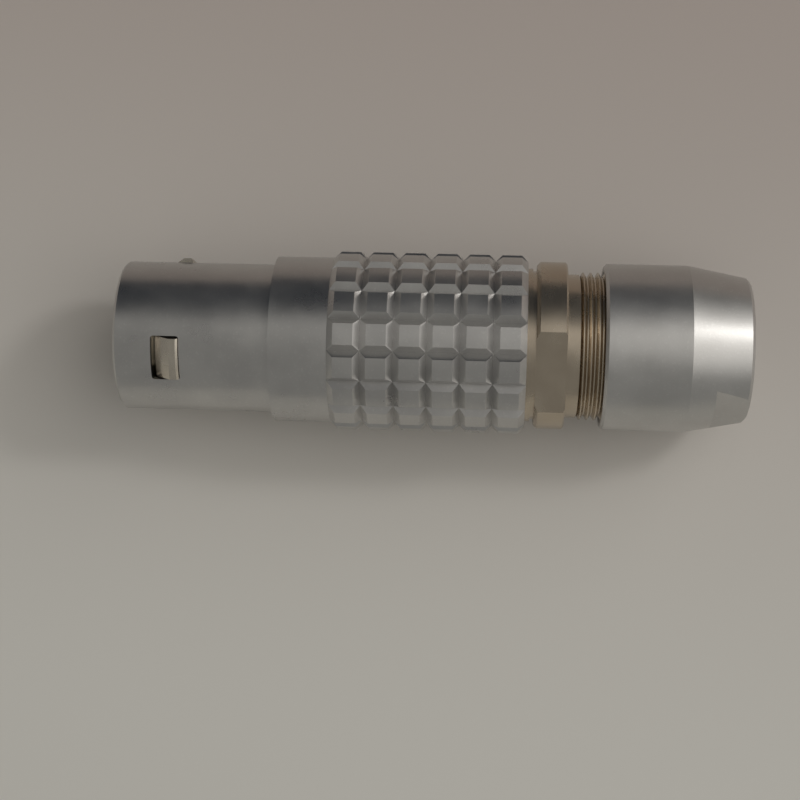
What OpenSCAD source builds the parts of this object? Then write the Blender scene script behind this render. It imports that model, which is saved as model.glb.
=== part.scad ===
// Straight push-pull circular plug, lying on its knurled grip with the collet nut backed off.
// Along the axis, x runs from the rim of the nose (x = 0) to the cable end. Angles are counted from the top
// (+Z) towards -Y. The finished parts stand with the origin under the middle of the plug.

/* [Nose] */
// Outer diameter of the nose that enters the socket
nose_d = 15; // [14.6:0.1:15.8]
// Length of the nose, from its rim to the step of the collar
nose_len = 15.45; // [14.5:0.05:18]
// Wall of the nose where the tongues run inside it
nose_wall = 0.65; // [0.5:0.05:0.8]
// Chamfer on the outer edge of the rim
rim_chamfer = 0.25; // [0.1:0.05:0.4]

/* [Latch windows] */
// Number of windows, tongues and teeth
latch_count = 3; // [2:1:3]
// Angle of the first window
latch_angle = 21.5; // [0:0.5:60]
// Distance from the rim to the windows
window_front = 3.8; // [3.5:0.1:5]
// Length of a window along the axis
window_len = 2.8; // [2.4:0.1:3.6]
// Width of a window
window_w = 4.5; // [3.6:0.1:5]
// Radius of the corners of a window
window_corner = 0.3; // [0.2:0.05:0.5]

/* [Latch tongues] */
// Length of a tongue, from its tip to its root
tongue_len = 12.3; // [11:0.1:12.8]
// Thickness of a tongue
tongue_t = 0.45; // [0.35:0.05:0.55]
// Height of a tooth above the nose
tooth_h = 0.45; // [0.3:0.05:0.5]
// Slope of a tooth's ramp, in degrees
ramp_angle = 34; // [30:1:45]
// Bevel on the back edge of a tooth
tooth_bevel = 0.2; // [0.1:0.05:0.3]
// Distance by which a tooth drops when the shell is pulled fully back
latch_drop = 0.48; // [0.46:0.01:0.55]

/* [Collar and grip] */
// Outer diameter of the plain collar, which the barrel of the collet nut shares
collar_d = 16.7; // [16.3:0.1:17.2]
// Length of the plain collar
collar_len = 5.75; // [4:0.05:8]
// Outer diameter over the pads of the grip
grip_d = 18; // [17.6:0.1:18.6]
// Length of one pad with its groove
pad_pitch = 3.235; // [2.8:0.005:3.6]
// Number of pads along the grip
pad_count = 6; // [4:1:7]
// Number of rows of pads around the grip
pad_rows = 17; // [13:2:19]
// Depth of the grooves between the pads
groove_depth = 0.63; // [0.5:0.01:0.75]
// Wall between the floor of the grooves and the bore of the grip
grip_wall = 0.57; // [0.45:0.01:0.65]

/* [Release stroke] */
// Distance that the shell slides back on the sleeve
release_stroke = 0.85; // [0.7:0.05:0.95]

/* [Flange] */
// Height of the flange above the collar
flange_rise = 0.05; // [0:0.05:0.3]
// Length of the flange
flange_len = 3; // [2:0.1:4]
// Depth of the flange's wrench flats
flange_flat_depth = 1.13; // [0.8:0.01:1.2]
// Angle of the flange's first wrench flat
flange_flat_angle = 25; // [0:1:90]

/* [Thread of the sleeve] */
// Pitch of the thread
thread_pitch = 0.75; // [0.5:0.25:1]
// Length of the threaded stretch
thread_len = 6.6; // [6:0.1:8]
// Length of the plain neck between the flange and the thread
neck_len = 1.2; // [0.8:0.1:2]
// Smallest wall between the root of the thread and the bore
thread_wall = 0.47; // [0.4:0.01:0.55]
// Smallest wall of the guide ring in the grip
guide_wall = 1.2; // [1:0.05:1.3]

/* [Collet nut] */
// Wall of the nut's barrel around the thread
nut_wall = 0.85; // [0.7:0.01:1]
// Distance from the flange to the nut, which is partly unscrewed
nut_gap = 3.65; // [2.5:0.05:4.2]
// Length of the nut's straight barrel
nut_barrel_len = 8.3; // [8:0.05:10]
// Length of the nut's tapered tail
nut_tail_len = 6.05; // [5.5:0.05:8]
// Radius that the tail loses along its taper
nut_taper_in = 1.1; // [0.6:0.05:1.4]
// Depth of the wrench flats at the end of the tail
nut_flat_depth = 0.35; // [0.2:0.05:0.6]
// Length of the wrench flats on the tail
nut_flat_len = 3.5; // [2.5:0.1:4]
// Angle of the first wrench flat on the tail
nut_flat_angle = 63; // [0:1:90]

/* [Insert] */
// Depth of the insert carrier's rim below the rim of the nose
carrier_recess = 0.6; // [0.3:0.1:1]
// Wall of the insert carrier in front, around the mating cavity
carrier_wall = 0.6; // [0.5:0.05:0.7]
// Depth of the insulator's face below the rim of the nose
insulator_depth = 8.5; // [8:0.1:9.5]
// Length of the insulator
insulator_len = 15; // [14:0.1:16]
// Distance from the back of the insulator to the belt that its carrier clamps
belt_setback = 5; // [4:0.1:6]
// Wall of the insert carrier behind the insulator
carrier_rear_wall = 0.9; // [0.7:0.05:1]
// Number of contacts in the ring
contact_count = 10; // [6:1:12]
// Diameter of a contact pin
contact_d = 1.3; // [0.9:0.1:1.3]
// Depth of the contacts' tips below the rim of the nose
contact_depth = 2.2; // [1.6:0.1:3]
// Width of the key in the mating cavity
key_w = 1.3; // [0.8:0.1:1.5]
// Height of the key
key_h = 0.65; // [0.4:0.05:0.7]

/* [Collet] */
// Diameter of the cable that the collet takes
cable_d = 8; // [7:0.1:8.4]
// Length of the collet
collet_len = 17.2; // [16.5:0.1:18]
// Length of the collet's jaws, which grip the cable
jaw_len = 6.2; // [5:0.1:7]
// Wall of the collet in front of its jaws
collet_wall = 0.95; // [0.7:0.05:1.1]
// Width of a slit of the collet
slit_w = 0.7; // [0.4:0.1:1]
// Number of slits, an even number
slit_count = 6; // [4:2:8]
// Length of the slits
slit_len = 10.2; // [9:0.1:11]

/* [Fits] */
// Radial clearance between the sleeve and the nose's bore
slide_gap = 0.1; // [0.06:0.01:0.12]
// Radial clearance between the guide ring and the grip's bore
guide_gap = 0.08; // [0.06:0.01:0.12]
// Radial clearance between the insert carrier and the sleeve
seat_gap = 0.1; // [0.05:0.01:0.15]
// Radial clearance between the insulator and its carrier
insert_gap = 0.05; // [0.03:0.01:0.08]
// Radial clearance between a contact and its hole
contact_gap = 0.04; // [0.02:0.01:0.06]
// Radial clearance between the crests of the thread and the nut
thread_gap = 0.07; // [0.05:0.01:0.1]
// Radial clearance between the collet and the sleeve's bore
collet_gap = 0.15; // [0.1:0.01:0.2]
// Clearance between end faces that stop on each other
stop_gap = 0.05; // [0.04:0.01:0.1]
// Clearance on each side of a tooth in its window
window_gap = 0.15; // [0.1:0.01:0.2]

/* [Hidden] */
$fn = 96;
E = 0.01; // overrun of a cutter past the face that it leaves
BIG = 40; // longer and wider than anything that a cutter has to pass

// Radii in the nose, from the outside in
nose_r = nose_d / 2;
nose_bore_r = nose_r - nose_wall;
sleeve_front_r = nose_bore_r - slide_gap;
tongue_in_r = sleeve_front_r - tongue_t;
flex_gap = 0.1; // between a fully pressed tongue and the carrier
carrier_front_r = tongue_in_r - seat_gap;
lip_r = carrier_front_r + 0.15; // bore of the nose's front lip

// The tongues, their teeth and the hinge line at their root
tooth_front = window_front + 0.4;
tooth_rear = window_front + window_len - stop_gap;
tooth_toe_r = nose_bore_r + 0.1;
tooth_top_r = nose_r + tooth_h;
tooth_peak = tooth_front + (tooth_top_r - tooth_toe_r) / tan(ramp_angle);
tongue_root = tooth_front + tongue_len;
tip_drop = latch_drop * tongue_len / (tongue_root - tooth_peak);
relief_r = tongue_in_r - tip_drop - flex_gap;
tongue_w = window_w - 2 * window_gap;
lip_end = tooth_front - release_stroke - 0.35;

// Collar and grip
collar_r = collar_d / 2;
grip_r = grip_d / 2;
ring_groove_depth = groove_depth + 0.01; // grooves around the grip, a touch deeper than those along it
grip_front = nose_len + collar_len;
grip_rear = grip_front + pad_count * pad_pitch;
grip_bore_r = min(collar_r, grip_r - ring_groove_depth) - grip_wall;
shell_step = grip_front - 0.3; // where the bore widens from the nose to the grip

// Latch sleeve
guide_r = grip_bore_r - guide_gap;
guide_front = shell_step + release_stroke + 0.25;
flange_front = grip_rear + release_stroke + stop_gap;
flange_rear = flange_front + flange_len;
flange_r = collar_r + flange_rise;
undercut_w = 0.4; // groove between the guide ring and the flange
undercut_h = 0.25;
thread_front = flange_rear + neck_len;
sleeve_rear = thread_front + thread_len;
nut_r = collar_r;
nut_bore_r = nut_r - nut_wall;
thread_r = nut_bore_r - thread_gap;
thread_depth = 0.613 * thread_pitch;
thread_root_r = thread_r - thread_depth;
thread_turns = floor((thread_len - 0.3) / thread_pitch);
rear_bore_r = min(thread_root_r - thread_wall, guide_r - guide_wall);
seat = guide_front + 2; // shoulder in the sleeve that stops the insert

// Collet nut
nut_front = flange_rear + nut_gap;
nut_tail_r = nut_r - nut_taper_in;
nut_taper = nut_front + nut_barrel_len;
total_len = nut_taper + nut_tail_len;
tight_gap = 0.15; // left between the flange and the nut when it is screwed home
tighten_travel = nut_gap - tight_gap;
nut_bore_end = sleeve_rear + tighten_travel + 0.25;
tail_wall = 1.1; // wall behind the collet

// Collet
collet_r = rear_bore_r - collet_gap;
cable_r = cable_d / 2;
cone_gap = 0.2; // between the collet's cone and the nut's
collet_rear = total_len - tail_wall - cone_gap;
collet_front = collet_rear - collet_len;
collet_cone = nut_bore_end + 0.3;
collet_end_r = cable_r + 1.2;
throat_r = collet_r - collet_wall; // bore of the collet in front of its jaws
jaw_front = collet_rear - jaw_len;

// Insert
cavity_r = relief_r - carrier_wall;
carrier_rear_r = rear_bore_r - seat_gap;
carrier_rear = collet_front - tighten_travel - 0.3;
insulator_r = cavity_r - insert_gap;
insulator_rear = insulator_depth + insulator_len;
belt_h = 0.45; // belt of the insulator that its carrier clamps
belt_front = insulator_rear - belt_setback;
belt_w = 1.9;
contact_r = contact_d / 2;
cup_r = contact_r + 0.2; // solder cup
carrier_rear_in_r = carrier_rear_r - carrier_rear_wall;
// The ring of contacts has room for the pins in the cavity and for the cups behind the insulator
ring_r = min(cavity_r - contact_r - 0.65, carrier_rear_in_r - cup_r - 0.2);
key_r = cavity_r - key_h;
split_gap = 0.02;

// The grip lies on the two pads beside its lowest groove, and this is where they end
groove_floor_r = grip_r - groove_depth;
pad_edge = (sqrt(2 * grip_r * grip_r - groove_floor_r * groove_floor_r) - groove_floor_r) / 2;
axis_height = groove_floor_r + pad_edge;

// Puts the plug on its bed: middle over the origin, axis at the height of the grip's pads
module bedded() translate([-total_len / 2, 0, axis_height]) children();

// Turns an outline of [x, radius] points about the axis
module turned(outline) rotate([0, 90, 0]) rotate_extrude() polygon([for (p = outline) [p[1], p[0]]]);

// Turns its children about the axis by an angle counted from the top towards -Y
module indexed(angle) rotate([angle, 0, 0]) children();

// Cuts two opposite wrench flats, at height r over the axis, from x = a to x = b
module wrench_flats(r, a, b, angle)
    for (side = [0, 180]) indexed(angle + side) translate([a, -BIG / 2, r]) cube([b - a, BIG, BIG / 2]);

// Cutter of one latch window, with round corners
module window_cutter() translate([window_front, -window_w / 2, tongue_in_r]) linear_extrude(BIG / 2) {
    c = window_corner;
    translate([c, 0]) square([window_len - 2 * c, window_w]);
    translate([0, c]) square([window_len, window_w - 2 * c]);
    for (x = [c, window_len - c], y = [c, window_w - c]) translate([x, y]) circle(c);
}

// One V groove along the grip, with flanks at 45 degrees
module grip_groove()
    translate([grip_front - E, 0, groove_floor_r]) rotate([90, 0, 90])
        linear_extrude(grip_rear - grip_front + 2 * E)
            polygon([[0, 0], [2 * groove_depth, 2 * groove_depth], [-2 * groove_depth, 2 * groove_depth]]);

module outer_shell() color([0.74, 0.74, 0.75]) bedded() difference() {
    turned(concat(
        [[0, lip_r], [0, nose_r - rim_chamfer], [rim_chamfer, nose_r]],
        [[nose_len, nose_r], [nose_len, collar_r]],
        [[grip_front, collar_r]],
        [for (i = [0:pad_count - 1]) each [
            [grip_front + i * pad_pitch, grip_r - ring_groove_depth],
            [grip_front + i * pad_pitch + ring_groove_depth, grip_r],
            [grip_front + (i + 1) * pad_pitch - ring_groove_depth, grip_r]]],
        [[grip_rear, grip_r - ring_groove_depth], [grip_rear, grip_bore_r], [shell_step, grip_bore_r],
         [shell_step, nose_bore_r], [lip_end, nose_bore_r], [lip_end, lip_r]]));
    for (i = [0:pad_rows - 1]) indexed(180 + i * 360 / pad_rows) grip_groove();
    for (i = [0:latch_count - 1]) indexed(latch_angle + i * 360 / latch_count) window_cutter();
}

module latch_sleeve() color([0.68, 0.64, 0.57]) bedded() difference() {
    chamfer = 0.35;
    turned(concat(
        [[tongue_root, tongue_in_r], [tongue_root, sleeve_front_r], [guide_front, sleeve_front_r],
         [guide_front, guide_r - chamfer], [guide_front + chamfer, guide_r],
         [flange_front - undercut_w, guide_r], [flange_front - undercut_w, guide_r - undercut_h],
         [flange_front, guide_r - undercut_h],
         [flange_front, flange_r - chamfer], [flange_front + chamfer, flange_r],
         [flange_rear - chamfer / 2, flange_r], [flange_rear, flange_r - chamfer / 2],
         [flange_rear, thread_r - thread_depth / 2], [thread_front, thread_r - thread_depth / 2],
         [thread_front, thread_root_r]],
        [for (i = [0:thread_turns - 1]) each [
            [thread_front + (i + 0.1) * thread_pitch, thread_root_r],
            [thread_front + (i + 0.45) * thread_pitch, thread_r],
            [thread_front + (i + 0.6) * thread_pitch, thread_r],
            [thread_front + (i + 0.95) * thread_pitch, thread_root_r]]],
        [[sleeve_rear, thread_root_r], [sleeve_rear, rear_bore_r],
         [seat, rear_bore_r], [seat, tongue_in_r]]));
    wrench_flats(flange_r - flange_flat_depth, flange_front - E, flange_rear + E, flange_flat_angle);
}

// One spring tongue: a strip of the sleeve's front tube with a ramped tooth near its tip
module latch_tongue(i) color([0.8, 0.79, 0.74]) bedded()
    indexed(latch_angle + (i - 1) * 360 / latch_count) intersection() {
        turned([[tooth_front, tongue_in_r], [tooth_front, tooth_toe_r], [tooth_peak, tooth_top_r],
                [tooth_rear - tooth_bevel, tooth_top_r], [tooth_rear, tooth_top_r - tooth_bevel],
                [tooth_rear, sleeve_front_r],
                [tongue_root - stop_gap, sleeve_front_r], [tongue_root - stop_gap, tongue_in_r]]);
        translate([tooth_front - E, -tongue_w / 2, 0]) cube([tongue_len, tongue_w, BIG]);
    }

// The whole insert carrier, before it is split in two
module carrier_tube() {
    relief_front = tooth_front - 0.6;
    relief_rear = tongue_root + 0.7;
    turned([[carrier_recess, cavity_r], [carrier_recess, carrier_front_r], [relief_front, carrier_front_r],
            [relief_front, relief_r], [relief_rear, relief_r], [relief_rear, carrier_front_r],
            [seat + stop_gap, carrier_front_r], [seat + stop_gap, carrier_rear_r],
            [carrier_rear, carrier_rear_r],
            [carrier_rear, carrier_rear_in_r], [insulator_rear + stop_gap, carrier_rear_in_r],
            [insulator_rear + stop_gap, cavity_r],
            [belt_front + belt_w + stop_gap, cavity_r], [belt_front + belt_w + stop_gap, cavity_r + belt_h],
            [belt_front - stop_gap, cavity_r + belt_h], [belt_front - stop_gap, cavity_r]]);
}

// One side of the split plane, which passes through the axis
module half_space() translate([-E, -BIG / 2, split_gap / 2]) cube([total_len, BIG, BIG]);

module insert_half_key() color([0.72, 0.69, 0.6]) bedded() indexed(latch_angle) union() {
    intersection() { carrier_tube(); half_space(); }
    translate([carrier_recess + 0.4, -key_w / 2, key_r])
        cube([insulator_depth - stop_gap - carrier_recess - 0.4, key_w, key_h + carrier_wall / 2]);
}

module insert_half_plain() color([0.72, 0.69, 0.6]) bedded() indexed(latch_angle + 180)
    intersection() { carrier_tube(); half_space(); }

// Angle of contact i: the key lies midway between the first and the last
function contact_angle(i) = latch_angle + (i - 0.5) * 360 / contact_count;

module insulator() color([0.60, 0.47, 0.33]) bedded() difference() {
    turned([[insulator_depth, 0], [insulator_depth, insulator_r - 0.2], [insulator_depth + 0.2, insulator_r],
            [belt_front, insulator_r], [belt_front, insulator_r + belt_h],
            [belt_front + belt_w, insulator_r + belt_h], [belt_front + belt_w, insulator_r],
            [insulator_rear, insulator_r], [insulator_rear, 0]]);
    for (i = [1:contact_count]) indexed(contact_angle(i))
        translate([insulator_depth - E, 0, ring_r]) rotate([0, 90, 0])
            cylinder(h = insulator_len + 2 * E, r = contact_r + contact_gap);
}

// One male contact: rounded tip, pin and solder cup
module contact(i) color([0.86, 0.68, 0.32]) bedded() indexed(contact_angle(i)) translate([0, 0, ring_r]) {
    cup_front = insulator_rear + stop_gap;
    cup_len = 3.8;
    tip_len = 0.9;
    difference() {
        turned(concat([for (a = [0:15:90]) [contact_depth + tip_len * (1 - sin(a)), contact_r * cos(a)]],
                      [[cup_front + cup_len, 0], [cup_front + cup_len, cup_r],
                       [cup_front, cup_r], [cup_front, contact_r]]));
        translate([cup_front + 1, 0, 0]) rotate([0, 90, 0]) cylinder(h = cup_len, r = contact_r - 0.1);
        translate([cup_front + 2, -BIG / 2, 0]) cube([cup_len, BIG, BIG]);
    }
}

module collet() color([0.76, 0.68, 0.5]) bedded() difference() {
    turned([[collet_front, throat_r], [collet_front, collet_r - 0.3], [collet_front + 0.3, collet_r],
            [collet_cone, collet_r], [collet_rear, collet_end_r], [collet_rear, cable_r],
            [jaw_front, cable_r], [jaw_front - 1.4, throat_r]]);
    for (i = [0:slit_count / 2 - 1]) indexed(latch_angle + i * 360 / slit_count) {
        translate([collet_rear - slit_len, -slit_w / 2, -BIG / 2]) cube([slit_len + E, slit_w, BIG]);
        translate([collet_rear - slit_len, 0, 0]) cylinder(h = BIG, r = slit_w, center = true);
    }
}

module collet_nut() color([0.74, 0.74, 0.75]) bedded() difference() {
    chamfer = 0.3;
    hole_r = cable_r + 0.7;
    turned([[nut_front, nut_bore_r + chamfer / 2], [nut_front, nut_r - chamfer], [nut_front + chamfer, nut_r],
            [nut_taper, nut_r], [total_len - chamfer, nut_tail_r], [total_len, nut_tail_r - chamfer],
            [total_len, hole_r + chamfer], [total_len - chamfer, hole_r], [total_len - tail_wall, hole_r],
            [total_len - tail_wall, collet_end_r + cone_gap], [collet_cone, collet_r + cone_gap],
            [nut_bore_end, collet_r + cone_gap], [nut_bore_end, nut_bore_r],
            [nut_front + chamfer / 2, nut_bore_r]]);
    wrench_flats(nut_tail_r - nut_flat_depth, total_len - nut_flat_len, total_len + E, nut_flat_angle);
}

outer_shell();
latch_sleeve();
for (i = [1:latch_count]) latch_tongue(i);
insert_half_key();
insert_half_plain();
insulator();
for (i = [1:contact_count]) contact(i);
collet();
collet_nut();
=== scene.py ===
"""Looks of the push pull circular connector: a cable plug that lies on a pale table."""

from __future__ import annotations

import logging
import math
from dataclasses import dataclass, field
from enum import Enum

import bpy
from mathutils import Matrix, Vector

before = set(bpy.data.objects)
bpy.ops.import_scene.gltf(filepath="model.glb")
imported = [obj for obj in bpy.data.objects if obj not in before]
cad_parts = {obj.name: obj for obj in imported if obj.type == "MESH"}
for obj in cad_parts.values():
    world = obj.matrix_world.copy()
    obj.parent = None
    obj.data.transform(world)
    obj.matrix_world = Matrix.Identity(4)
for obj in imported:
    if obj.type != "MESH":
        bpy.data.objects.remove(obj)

log = logging.getLogger("plug")

MM = 0.001
AXIS_HEIGHT = 8.97935
TABLE_SIDE = 3.0
# Painted light across the table: where its base colour turns from a darker warm grey to pale, and the
# direction it runs in.
TABLE_PAINTED_LIGHT_FROM = -0.06
TABLE_PAINTED_LIGHT_TO = 0.05
TABLE_PAINTED_LIGHT_ACROSS = (-0.15, -1.0, 0.0)
SENSOR_WIDTH = 36.0
CLIP_NEAR = 0.005
CLIP_FAR = 10.0
# Painted glint: grains above this threshold get their base colour mixed towards this near-white,
# standing in for glints of light.
PAINTED_GLINT_GRAINS_FROM = 0.88
PAINTED_GLINT_COLOUR = (1.0, 0.99, 0.97, 1.0)

Colour = tuple[float, float, float, float]
Point = tuple[float, float, float]


class Grain(Enum):
    """How the surface was finished before plating, as (grains per mm, bump height in mm)."""

    BLASTED = (6.0, 0.0016)
    FINE_BLASTED = (8.0, 0.0009)
    TURNED = (4.0, 0.0004)
    MOULDED = (3.0, 0.0010)


def deselect_all() -> None:
    bpy.ops.object.select_all(action="DESELECT")


def rgb(red: float, green: float, blue: float) -> Colour:
    """Makes a linear colour from its three parts."""
    return (red, green, blue, 1.0)


class SurfaceGroups:
    """Shader node groups that several finishes share, each built once."""

    def __init__(self) -> None:
        """Builds every group."""
        self.grain = self._grain()
        self.turning = self._turning()
        self.handling = self._handling()

    @staticmethod
    def _new(name: str, inputs: dict[str, float], outputs: list[str]) -> bpy.types.NodeTree:
        """Makes an empty group with named number inputs and outputs.

        Args:
            name: The group's name.
            inputs: Each input with its default value.
            outputs: The names of the outputs.

        Returns:
            The node tree.
        """
        tree = bpy.data.node_groups.new(name, "ShaderNodeTree")
        for label, value in inputs.items():
            socket = tree.interface.new_socket(label, in_out="INPUT", socket_type="NodeSocketFloat")
            socket.default_value = value
        for label in outputs:
            tree.interface.new_socket(label, in_out="OUTPUT", socket_type="NodeSocketFloat")
        return tree

    @staticmethod
    def _millimetres(tree: bpy.types.NodeTree) -> bpy.types.NodeSocket:
        """Adds the object's coordinates in millimetres.

        Args:
            tree: The group to add them to.

        Returns:
            The socket with the coordinates.
        """
        place = tree.nodes.new("ShaderNodeTexCoord")
        scaled = tree.nodes.new("ShaderNodeVectorMath")
        scaled.operation = "SCALE"
        scaled.inputs["Scale"].default_value = 1.0 / MM
        tree.links.new(place.outputs["Object"], scaled.inputs[0])
        return scaled.outputs[0]

    def _grain(self) -> bpy.types.NodeTree:
        """Blasted grain: a height for the bump, and a mask of the few grains whose base colour gets a
        painted glint.
        """
        tree = self._new("blast_grain", {"Grains": 7.0}, ["Height", "PaintedGlint"])
        nodes, links = tree.nodes, tree.links
        enter, leave = nodes.new("NodeGroupInput"), nodes.new("NodeGroupOutput")
        place = self._millimetres(tree)
        cells = nodes.new("ShaderNodeTexVoronoi")
        cells.feature = "F1"
        links.new(place, cells.inputs["Vector"])
        links.new(enter.outputs["Grains"], cells.inputs["Scale"])
        cloud = nodes.new("ShaderNodeTexNoise")
        cloud.inputs["Detail"].default_value = 3.0
        cloud.inputs["Roughness"].default_value = 0.7
        links.new(place, cloud.inputs["Vector"])
        links.new(enter.outputs["Grains"], cloud.inputs["Scale"])
        both = nodes.new("ShaderNodeMath")
        both.operation = "ADD"
        links.new(cells.outputs["Distance"], both.inputs[0])
        links.new(cloud.outputs["Fac"], both.inputs[1])
        links.new(both.outputs[0], leave.inputs["Height"])
        # Painted glint mask: the rarest grains by cell colour, later mixed towards a near-white base
        # colour.
        apart = nodes.new("ShaderNodeSeparateColor")
        links.new(cells.outputs["Color"], apart.inputs[0])
        glint_grains = nodes.new("ShaderNodeMapRange")
        glint_grains.inputs["From Min"].default_value = PAINTED_GLINT_GRAINS_FROM
        links.new(apart.outputs[0], glint_grains.inputs["Value"])
        links.new(glint_grains.outputs["Result"], leave.inputs["PaintedGlint"])
        return tree

    def _turning(self) -> bpy.types.NodeTree:
        """Lathe marks: fine rings round the axis, as a height."""
        tree = self._new("turning_marks", {"Rings": 9.0}, ["Height"])
        nodes, links = tree.nodes, tree.links
        enter, leave = nodes.new("NodeGroupInput"), nodes.new("NodeGroupOutput")
        place = nodes.new("ShaderNodeTexCoord")
        along = nodes.new("ShaderNodeSeparateXYZ")
        links.new(place.outputs["Object"], along.inputs[0])
        scaled = nodes.new("ShaderNodeMath")
        scaled.operation = "MULTIPLY"
        scaled.inputs[1].default_value = 1.0 / MM
        links.new(along.outputs["X"], scaled.inputs[0])
        lines = nodes.new("ShaderNodeTexNoise")
        lines.noise_dimensions = "1D"
        lines.inputs["Detail"].default_value = 4.0
        links.new(scaled.outputs[0], lines.inputs["W"])
        links.new(enter.outputs["Rings"], lines.inputs["Scale"])
        links.new(lines.outputs["Fac"], leave.inputs["Height"])
        return tree

    def _handling(self) -> bpy.types.NodeTree:
        """Soft patches left by fingers, several millimetres wide, from 0 to 1."""
        tree = self._new("handling_patches", {"Size": 5.0}, ["Patch"])
        nodes, links = tree.nodes, tree.links
        enter, leave = nodes.new("NodeGroupInput"), nodes.new("NodeGroupOutput")
        place = self._millimetres(tree)
        rate = nodes.new("ShaderNodeMath")
        rate.operation = "DIVIDE"
        rate.inputs[0].default_value = 1.0
        links.new(enter.outputs["Size"], rate.inputs[1])
        cloud = nodes.new("ShaderNodeTexNoise")
        cloud.inputs["Detail"].default_value = 4.0
        cloud.inputs["Roughness"].default_value = 0.55
        links.new(place, cloud.inputs["Vector"])
        links.new(rate.outputs[0], cloud.inputs["Scale"])
        spread = nodes.new("ShaderNodeMapRange")
        spread.inputs["From Min"].default_value = 0.35
        spread.inputs["From Max"].default_value = 0.65
        links.new(cloud.outputs["Fac"], spread.inputs["Value"])
        links.new(spread.outputs["Result"], leave.inputs["Patch"])
        return tree


@dataclass(frozen=True)
class Plated:
    """A plated metal: its colours, how rough it is, the grain under the plating, and how much painted
    glint its grains get.
    """

    name: str
    dark: Colour
    light: Colour
    smooth: float
    rough: float
    grain: Grain
    painted_glint: float = 0.0
    rings: float = 0.0

    def make(self, groups: SurfaceGroups) -> bpy.types.Material:
        """Builds the material.

        Args:
            groups: The shared node groups.

        Returns:
            The material, on Object coordinates.
        """
        material = bpy.data.materials.new(self.name)
        material.use_nodes = True
        nodes, links = material.node_tree.nodes, material.node_tree.links
        shader = nodes["Principled BSDF"]
        shader.inputs["Metallic"].default_value = 1.0
        patches = nodes.new("ShaderNodeGroup")
        patches.node_tree = groups.handling
        grain = nodes.new("ShaderNodeGroup")
        grain.node_tree = groups.grain
        grain.inputs["Grains"].default_value = self.grain.value[0]
        tint = nodes.new("ShaderNodeMix")
        tint.data_type = "RGBA"
        tint.inputs["A"].default_value = self.dark
        tint.inputs["B"].default_value = self.light
        links.new(patches.outputs["Patch"], tint.inputs["Factor"])
        colour = tint.outputs["Result"]
        # Painted glint: the masked grains' base colour is mixed towards near-white, standing in for
        # glints of light on the blasted grain.
        if self.painted_glint > 0.0:
            glint = nodes.new("ShaderNodeMath")
            glint.operation = "MULTIPLY"
            glint.inputs[1].default_value = self.painted_glint
            links.new(grain.outputs["PaintedGlint"], glint.inputs[0])
            bright = nodes.new("ShaderNodeMix")
            bright.data_type = "RGBA"
            bright.inputs["B"].default_value = PAINTED_GLINT_COLOUR
            links.new(glint.outputs[0], bright.inputs["Factor"])
            links.new(colour, bright.inputs["A"])
            colour = bright.outputs["Result"]
        links.new(colour, shader.inputs["Base Color"])
        finish = nodes.new("ShaderNodeMapRange")
        finish.inputs["To Min"].default_value = self.smooth
        finish.inputs["To Max"].default_value = self.rough
        links.new(patches.outputs["Patch"], finish.inputs["Value"])
        links.new(finish.outputs["Result"], shader.inputs["Roughness"])
        pits = nodes.new("ShaderNodeBump")
        pits.inputs["Strength"].default_value = 1.0
        pits.inputs["Distance"].default_value = self.grain.value[1] * MM
        links.new(grain.outputs["Height"], pits.inputs["Height"])
        normal = pits.outputs["Normal"]
        if self.rings > 0.0:
            marks = nodes.new("ShaderNodeGroup")
            marks.node_tree = groups.turning
            cut = nodes.new("ShaderNodeBump")
            cut.inputs["Strength"].default_value = 1.0
            cut.inputs["Distance"].default_value = self.rings * MM
            links.new(marks.outputs["Height"], cut.inputs["Height"])
            links.new(normal, cut.inputs["Normal"])
            normal = cut.outputs["Normal"]
        links.new(normal, shader.inputs["Normal"])
        return material


@dataclass(frozen=True)
class Moulded:
    """A moulded plastic with a slight flow pattern."""

    name: str
    dark: Colour
    light: Colour
    rough: float

    def make(self, groups: SurfaceGroups) -> bpy.types.Material:
        """Builds the material.

        Args:
            groups: The shared node groups.

        Returns:
            The material, on Object coordinates.
        """
        material = bpy.data.materials.new(self.name)
        material.use_nodes = True
        nodes, links = material.node_tree.nodes, material.node_tree.links
        shader = nodes["Principled BSDF"]
        patches = nodes.new("ShaderNodeGroup")
        patches.node_tree = groups.handling
        patches.inputs["Size"].default_value = 2.0
        grain = nodes.new("ShaderNodeGroup")
        grain.node_tree = groups.grain
        grain.inputs["Grains"].default_value = Grain.MOULDED.value[0]
        tint = nodes.new("ShaderNodeMix")
        tint.data_type = "RGBA"
        tint.inputs["A"].default_value = self.dark
        tint.inputs["B"].default_value = self.light
        links.new(patches.outputs["Patch"], tint.inputs["Factor"])
        links.new(tint.outputs["Result"], shader.inputs["Base Color"])
        finish = nodes.new("ShaderNodeMapRange")
        finish.inputs["To Min"].default_value = self.rough
        finish.inputs["To Max"].default_value = self.rough + 0.1
        links.new(patches.outputs["Patch"], finish.inputs["Value"])
        links.new(finish.outputs["Result"], shader.inputs["Roughness"])
        skin = nodes.new("ShaderNodeBump")
        skin.inputs["Strength"].default_value = 0.5
        skin.inputs["Distance"].default_value = Grain.MOULDED.value[1] * MM
        links.new(grain.outputs["Height"], skin.inputs["Height"])
        links.new(skin.outputs["Normal"], shader.inputs["Normal"])
        return material


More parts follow.
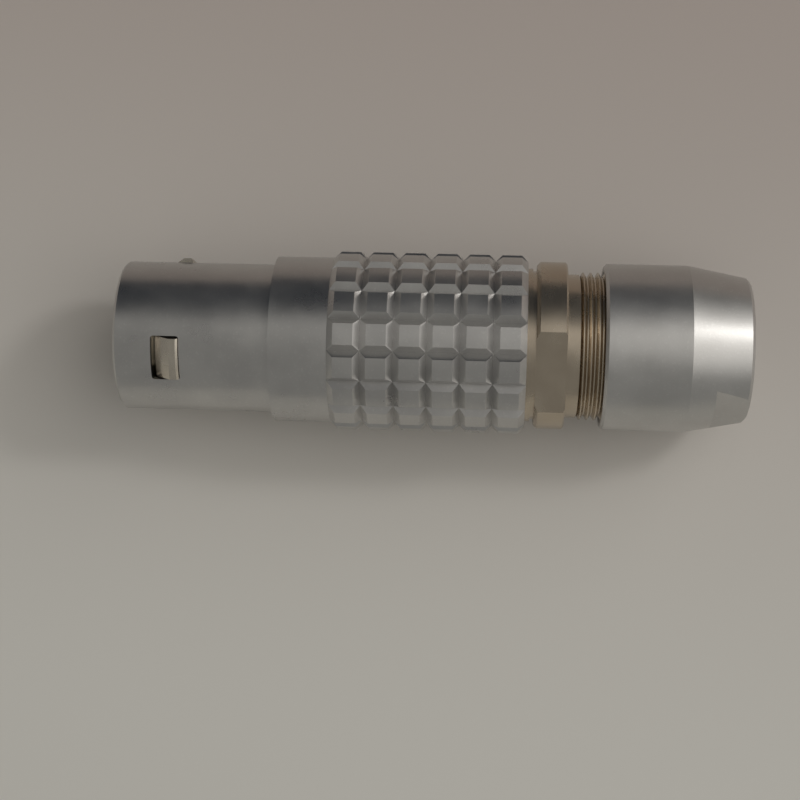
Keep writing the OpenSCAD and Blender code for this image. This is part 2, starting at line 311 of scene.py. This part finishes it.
@dataclass
class Finishes:
    """Every finish of the plug, made once."""

    groups: SurfaceGroups = field(default_factory=SurfaceGroups)

    def __post_init__(self) -> None:
        """Makes the materials."""
        # The shell and the nut get a painted glint on their rare grains, at 0.08.
        self.shell = Plated("satin_chrome_blasted", rgb(0.50, 0.495, 0.49), rgb(0.56, 0.555, 0.545),
                            0.27, 0.34, Grain.BLASTED, painted_glint=0.08).make(self.groups)
        self.nut = Plated("satin_chrome_nut", rgb(0.52, 0.515, 0.505), rgb(0.58, 0.575, 0.565),
                          0.29, 0.36, Grain.BLASTED, painted_glint=0.08).make(self.groups)
        self.sleeve = Plated("warm_nickel", rgb(0.49, 0.42, 0.335), rgb(0.56, 0.49, 0.395),
                             0.22, 0.30, Grain.FINE_BLASTED, rings=0.0004).make(self.groups)
        self.tongue = Plated("nickel_tongue", rgb(0.56, 0.51, 0.44), rgb(0.66, 0.61, 0.53),
                             0.2, 0.3, Grain.FINE_BLASTED).make(self.groups)
        self.carrier = Plated("nickel_carrier", rgb(0.50, 0.46, 0.38), rgb(0.60, 0.55, 0.46),
                              0.26, 0.36, Grain.TURNED, rings=0.0004).make(self.groups)
        self.contact = Plated("gold_plate", rgb(0.78, 0.56, 0.22), rgb(0.86, 0.64, 0.28),
                              0.18, 0.26, Grain.TURNED, rings=0.0003).make(self.groups)
        self.collet = Plated("nickel_collet", rgb(0.54, 0.50, 0.43), rgb(0.62, 0.58, 0.50),
                             0.28, 0.36, Grain.TURNED, rings=0.0004).make(self.groups)
        self.insulator = Moulded("natural_peek", rgb(0.36, 0.26, 0.16), rgb(0.42, 0.31, 0.20),
                                 0.42).make(self.groups)


def dress(node: str, material: bpy.types.Material) -> None:
    """Gives a CAD node its finish.

    Args:
        node: The node's name.
        material: The finish for all of its faces.
    """
    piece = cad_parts[node]
    piece.data.materials.clear()
    piece.data.materials.append(material)
    log.info("%s: %s", node, material.name)


@dataclass
class ShellAssembly:
    """The outer shell that slides: nose, collar and knurled grip."""

    finishes: Finishes

    def build(self) -> None:
        """Dresses the shell."""
        dress("outer_shell", self.finishes.shell)


@dataclass
class InnerBody:
    """The latch sleeve with its tongues, the carrier halves, the insulator and the contacts."""

    finishes: Finishes

    def build(self) -> None:
        """Dresses each node of the inner body."""
        dress("latch_sleeve", self.finishes.sleeve)
        for node in ("latch_tongue_1", "latch_tongue_2", "latch_tongue_3"):
            dress(node, self.finishes.tongue)
        for node in ("insert_half_key", "insert_half_plain"):
            dress(node, self.finishes.carrier)
        dress("insulator", self.finishes.insulator)
        for node in sorted(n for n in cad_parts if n.startswith("contact_")):
            dress(node, self.finishes.contact)


@dataclass
class CableEnd:
    """The collet and its nut."""

    finishes: Finishes

    def build(self) -> None:
        """Dresses the collet and the nut."""
        dress("collet", self.finishes.collet)
        dress("collet_nut", self.finishes.nut)


@dataclass(frozen=True)
class Lamp:
    """A soft square lamp that points at the plug."""

    name: str
    place: Point
    side: float
    power: float
    colour: Point = (1.0, 1.0, 1.0)

    def hang(self) -> None:
        """Puts the lamp up and turns it to the middle of the plug."""
        data = bpy.data.lights.new(self.name, "AREA")
        data.shape = "SQUARE"
        data.size = self.side
        data.energy = self.power
        data.color = self.colour
        lamp = bpy.data.objects.new(self.name, data)
        bpy.context.scene.collection.objects.link(lamp)
        lamp.location = self.place
        aim = Vector((0.0, 0.0, AXIS_HEIGHT * MM)) - Vector(self.place)
        lamp.rotation_euler = aim.to_track_quat("-Z", "Y").to_euler()


@dataclass(frozen=True)
class Panel:
    """A large soft panel of the room, seen from the plug, that is brighter or darker than the walls."""

    towards: Point
    full: float
    gone: float
    colour: Colour

    def hang(self, tree: bpy.types.NodeTree, seen: bpy.types.NodeSocket,
             behind: bpy.types.NodeSocket) -> bpy.types.NodeSocket:
        """Adds the panel to the room.

        Args:
            tree: The world's node tree.
            seen: The direction that is looked in.
            behind: The colour of the room so far.

        Returns:
            The colour of the room with this panel.
        """
        nodes, links = tree.nodes, tree.links
        near = nodes.new("ShaderNodeVectorMath")
        near.operation = "DOT_PRODUCT"
        near.inputs[1].default_value = Vector(self.towards).normalized()
        links.new(seen, near.inputs[0])
        edge = nodes.new("ShaderNodeMapRange")
        edge.interpolation_type = "SMOOTHSTEP"
        edge.inputs["From Min"].default_value = math.cos(math.radians(self.gone))
        edge.inputs["From Max"].default_value = math.cos(math.radians(self.full))
        links.new(near.outputs["Value"], edge.inputs["Value"])
        paint = nodes.new("ShaderNodeMix")
        paint.data_type = "RGBA"
        paint.inputs["B"].default_value = self.colour
        links.new(edge.outputs["Result"], paint.inputs["Factor"])
        links.new(behind, paint.inputs["A"])
        return paint.outputs["Result"]


@dataclass
class Studio:
    """The table, the lamps, the room and the camera."""

    camera_place: Point = (6.745, -10.869, 172.618)
    forward: Point = (-0.06073, 0.03016, -0.99770)
    right: Point = (0.99775, 0.03011, -0.05982)
    up: Point = (-0.02823, 0.99909, 0.03192)
    lens: float = 72.765
    walls: Colour = rgb(0.255, 0.25, 0.235)
    panels: tuple[Panel, ...] = (
        Panel((0.72, 0.20, 0.665), 10.0, 57.0, rgb(1.12, 1.08, 1.02)),
        Panel((-0.25, 0.88, 0.40), 14.0, 52.0, rgb(0.040, 0.044, 0.050)),
    )
    lamps: tuple[Lamp, ...] = (
        Lamp("key_lamp", (0.40, 0.20, 0.40), 0.09, 0.50, (1.0, 0.98, 0.95)),
    )

    def build(self) -> None:
        """Builds the whole studio."""
        self._camera()
        self._table()
        self._room()
        for lamp in self.lamps:
            lamp.hang()
        log.info("studio: camera, table, room and %d lamps", len(self.lamps))

    def _camera(self) -> None:
        """Places the camera above the plug."""
        data = bpy.data.cameras.new("camera")
        data.lens = self.lens
        data.sensor_width = SENSOR_WIDTH
        data.clip_start = CLIP_NEAR
        data.clip_end = CLIP_FAR
        camera = bpy.data.objects.new("camera", data)
        bpy.context.scene.collection.objects.link(camera)
        turn = Matrix((self.right, self.up, -Vector(self.forward))).transposed().to_4x4()
        camera.matrix_world = Matrix.Translation(Vector(self.camera_place) * MM) @ turn
        bpy.context.scene.camera = camera

    def _table(self) -> None:
        """Lays the table top under the plug, with painted light in its colour: pale towards -Y and
        darker towards +Y.
        """
        deselect_all()
        bpy.ops.mesh.primitive_plane_add(size=TABLE_SIDE, location=(0.0, 0.0, 0.0))
        table = bpy.context.object
        table.name = "table"
        material = bpy.data.materials.new("table_painted_light")
        material.use_nodes = True
        nodes, links = material.node_tree.nodes, material.node_tree.links
        shader = nodes["Principled BSDF"]
        shader.inputs["Roughness"].default_value = 0.7
        shader.inputs["Specular IOR Level"].default_value = 0.2
        # Painted light: the base colour runs from a darker warm grey at +Y to a pale grey at -Y,
        # standing in for how the light falls across the table.
        place = nodes.new("ShaderNodeTexCoord")
        painted_light_across = nodes.new("ShaderNodeVectorMath")
        painted_light_across.operation = "DOT_PRODUCT"
        painted_light_across.inputs[1].default_value = TABLE_PAINTED_LIGHT_ACROSS
        links.new(place.outputs["Object"], painted_light_across.inputs[0])
        painted_light_ramp = nodes.new("ShaderNodeMapRange")
        painted_light_ramp.interpolation_type = "SMOOTHSTEP"
        painted_light_ramp.inputs["From Min"].default_value = TABLE_PAINTED_LIGHT_FROM
        painted_light_ramp.inputs["From Max"].default_value = TABLE_PAINTED_LIGHT_TO
        links.new(painted_light_across.outputs["Value"], painted_light_ramp.inputs["Value"])
        tint = nodes.new("ShaderNodeMix")
        tint.data_type = "RGBA"
        tint.inputs["A"].default_value = rgb(0.49, 0.43, 0.40)
        tint.inputs["B"].default_value = rgb(0.72, 0.71, 0.67)
        links.new(painted_light_ramp.outputs["Result"], tint.inputs["Factor"])
        links.new(tint.outputs["Result"], shader.inputs["Base Color"])
        table.data.materials.append(material)

    def _room(self) -> None:
        """Paints the room that the metal mirrors: plain walls with large soft panels."""
        world = bpy.data.worlds.new("room")
        bpy.context.scene.world = world
        world.use_nodes = True
        tree = world.node_tree
        place = tree.nodes.new("ShaderNodeTexCoord")
        plain = tree.nodes.new("ShaderNodeRGB")
        plain.outputs[0].default_value = self.walls
        colour = plain.outputs[0]
        for panel in self.panels:
            colour = panel.hang(tree, place.outputs["Generated"], colour)
        tree.links.new(colour, tree.nodes["Background"].inputs["Color"])
        tree.nodes["Background"].inputs["Strength"].default_value = 1.0


def main() -> None:
    """Builds the studio and every sub-assembly in order."""
    logging.basicConfig(level=logging.INFO, format="%(name)s: %(message)s")
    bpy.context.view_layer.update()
    bpy.context.scene.view_settings.view_transform = "Standard"
    Studio().build()
    finishes = Finishes()
    ShellAssembly(finishes).build()
    InnerBody(finishes).build()
    CableEnd(finishes).build()


if __name__ == "__main__":
    main()
